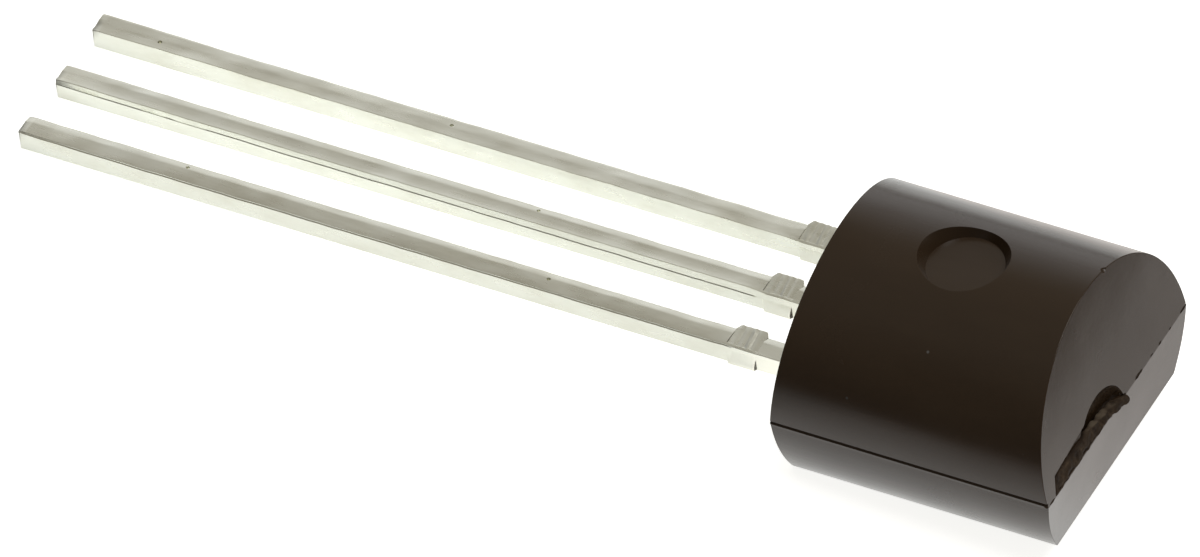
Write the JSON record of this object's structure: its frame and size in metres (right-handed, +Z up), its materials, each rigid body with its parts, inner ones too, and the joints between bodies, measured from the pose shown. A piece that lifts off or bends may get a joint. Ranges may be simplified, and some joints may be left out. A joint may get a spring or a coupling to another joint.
{
  "type": "voltage regulator",
  "caption": "Small voltage regulator in a half-round moulded case with a flat, on long straight in-line tinned leads; holds a steady output voltage.",
  "frame": {"origin": "middle of the case's flat, on the flat", "axes": "+X from the leads to the plain end of the case, +Y across the leads from output to input, +Z up from the flat to the round crown"},
  "size_m": [0.0194, 0.005, 0.0038],
  "materials": {
    "moulding_compound": "satin",
    "tinned_lead": "satin",
    "silicon": "polished",
    "silver_bond": "matte",
    "gold_wire": "polished"
  },
  "bodies": {
    "root": {"moulded_case": "moulding_compound", "output_lead": "tinned_lead", "ground_lead": "tinned_lead", "input_lead": "tinned_lead", "regulator_die": "silicon", "die_attach": "silver_bond", "output_bond_wire": "gold_wire", "ground_bond_wire": "gold_wire", "input_bond_wire": "gold_wire"}
  },
  "joints": []
}
